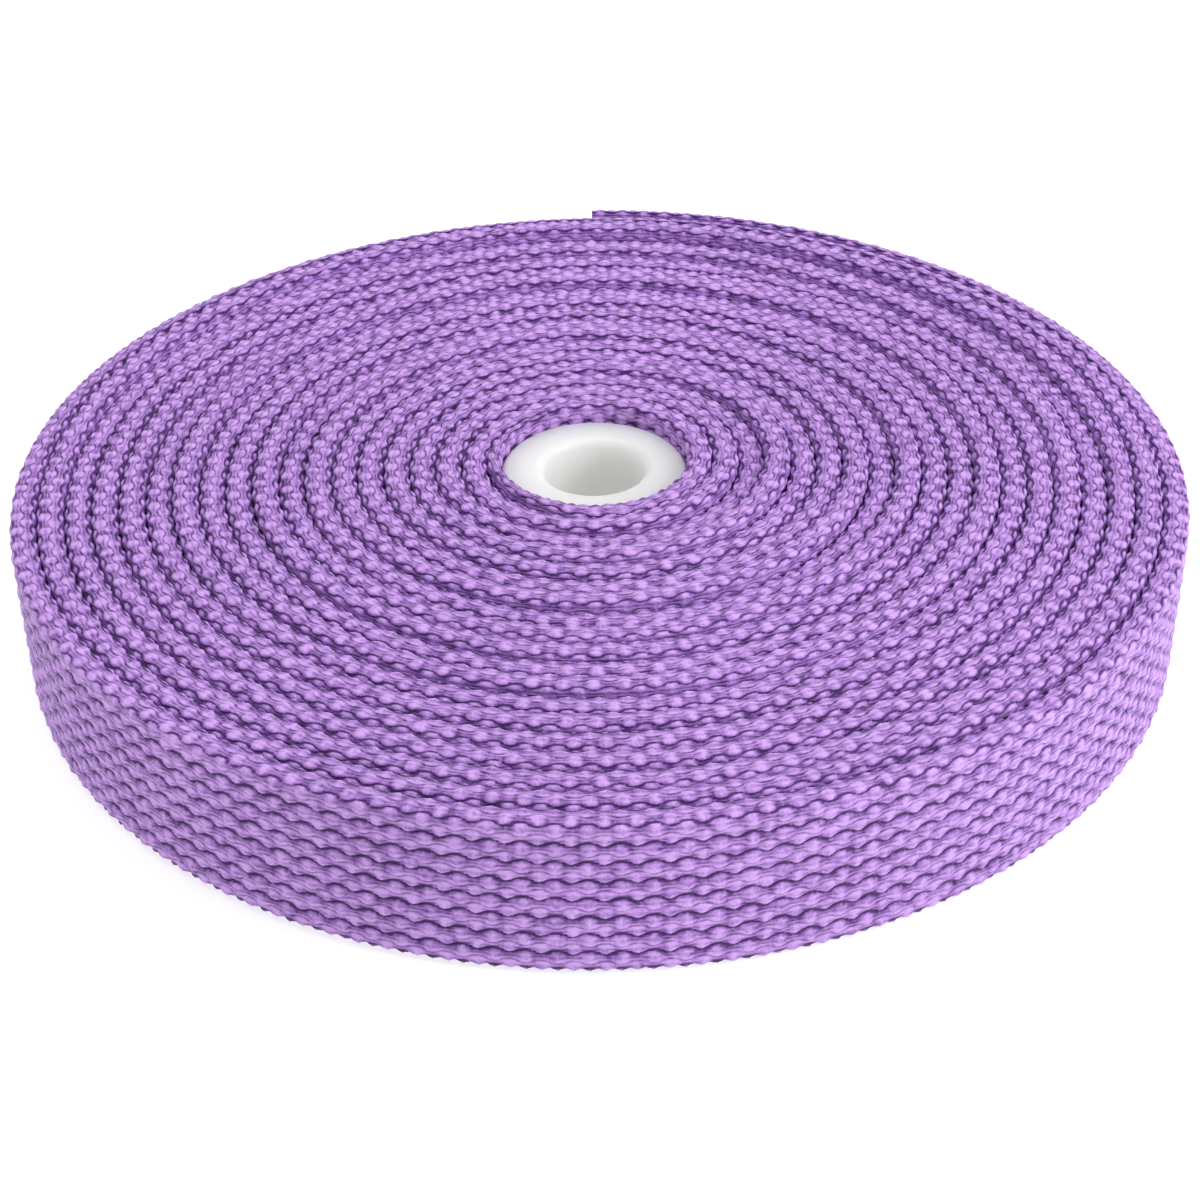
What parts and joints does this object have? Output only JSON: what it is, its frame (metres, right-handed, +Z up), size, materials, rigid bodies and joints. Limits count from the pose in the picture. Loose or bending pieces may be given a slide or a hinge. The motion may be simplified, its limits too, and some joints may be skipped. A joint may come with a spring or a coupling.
{
  "type": "webbing roll",
  "caption": "Roll of chunky flat woven webbing wound edge-up in a spiral on a short hollow core, lying flat, with an outer end that peels off the roll.",
  "frame": {"origin": "on the axis of the core's bore, at the level of the table that the roll lies on", "axes": "+Z up along the core's axis; +X to the right of someone who faces the roll with the loose end's tip at the back (+Y)"},
  "size_m": [0.1808, 0.1828, 0.025],
  "materials": {
    "webbing": "matte",
    "core": "satin",
    "tape": "gloss"
  },
  "bodies": {
    "roll": {"core": "core", "starter_tape": "tape", "webbing_winding": "webbing"},
    "loose_end_01": {"webbing_end_01": "webbing"},
    "loose_end_02": {"webbing_end_02": "webbing"},
    "loose_end_03": {"webbing_end_03": "webbing"},
    "loose_end_04": {"webbing_end_04": "webbing"},
    "loose_end_05": {"webbing_end_05": "webbing"},
    "loose_end_06": {"webbing_end_06": "webbing"},
    "loose_end_07": {"webbing_end_07": "webbing"},
    "loose_end_08": {"webbing_end_08": "webbing"},
    "loose_end_09": {"webbing_end_09": "webbing"},
    "loose_end_10": {"webbing_end_10": "webbing"},
    "loose_end_11": {"webbing_end_11": "webbing"},
    "loose_end_12": {"webbing_end_12": "webbing"}
  },
  "joints": [
    {"name": "peel_01", "type": "hinge", "parent": "roll", "child": "loose_end_01", "pos_m": [0, -0.09145, 0.0125], "axis": [0, 0, -1], "range_deg": [0, 15]},
    {"name": "peel_02", "type": "hinge", "parent": "loose_end_01", "child": "loose_end_02", "pos_m": [0.02367, -0.08833, 0.0125], "axis": [0, 0, -1], "range_deg": [0, 15]},
    {"name": "peel_03", "type": "hinge", "parent": "loose_end_02", "child": "loose_end_03", "pos_m": [0.04573, -0.0792, 0.0125], "axis": [0, 0, -1], "range_deg": [0, 15]},
    {"name": "peel_04", "type": "hinge", "parent": "loose_end_03", "child": "loose_end_04", "pos_m": [0.06467, -0.06467, 0.0125], "axis": [0, 0, -1], "range_deg": [0, 15]},
    {"name": "peel_05", "type": "hinge", "parent": "loose_end_04", "child": "loose_end_05", "pos_m": [0.0792, -0.04573, 0.0125], "axis": [0, 0, -1], "range_deg": [0, 15]},
    {"name": "peel_06", "type": "hinge", "parent": "loose_end_05", "child": "loose_end_06", "pos_m": [0.08833, -0.02367, 0.0125], "axis": [0, 0, -1], "range_deg": [0, 15]},
    {"name": "peel_07", "type": "hinge", "parent": "loose_end_06", "child": "loose_end_07", "pos_m": [0.09145, 0, 0.0125], "axis": [0, 0, -1], "range_deg": [0, 15]},
    {"name": "peel_08", "type": "hinge", "parent": "loose_end_07", "child": "loose_end_08", "pos_m": [0.08833, 0.02367, 0.0125], "axis": [0, 0, -1], "range_deg": [0, 15]},
    {"name": "peel_09", "type": "hinge", "parent": "loose_end_08", "child": "loose_end_09", "pos_m": [0.0792, 0.04573, 0.0125], "axis": [0, 0, -1], "range_deg": [0, 15]},
    {"name": "peel_10", "type": "hinge", "parent": "loose_end_09", "child": "loose_end_10", "pos_m": [0.06467, 0.06467, 0.0125], "axis": [0, 0, -1], "range_deg": [0, 15]},
    {"name": "peel_11", "type": "hinge", "parent": "loose_end_10", "child": "loose_end_11", "pos_m": [0.04573, 0.0792, 0.0125], "axis": [0, 0, -1], "range_deg": [0, 15]},
    {"name": "peel_12", "type": "hinge", "parent": "loose_end_11", "child": "loose_end_12", "pos_m": [0.02367, 0.08833, 0.0125], "axis": [0, 0, -1], "range_deg": [0, 15]}
  ],
  "couplings": [
    {"joint": "peel_02", "follows": "peel_01", "ratio": 1},
    {"joint": "peel_03", "follows": "peel_01", "ratio": 1},
    {"joint": "peel_04", "follows": "peel_01", "ratio": 1},
    {"joint": "peel_05", "follows": "peel_01", "ratio": 1},
    {"joint": "peel_06", "follows": "peel_01", "ratio": 1},
    {"joint": "peel_07", "follows": "peel_01", "ratio": 1},
    {"joint": "peel_08", "follows": "peel_01", "ratio": 1},
    {"joint": "peel_09", "follows": "peel_01", "ratio": 1},
    {"joint": "peel_10", "follows": "peel_01", "ratio": 1},
    {"joint": "peel_11", "follows": "peel_01", "ratio": 1},
    {"joint": "peel_12", "follows": "peel_01", "ratio": 1}
  ]
}
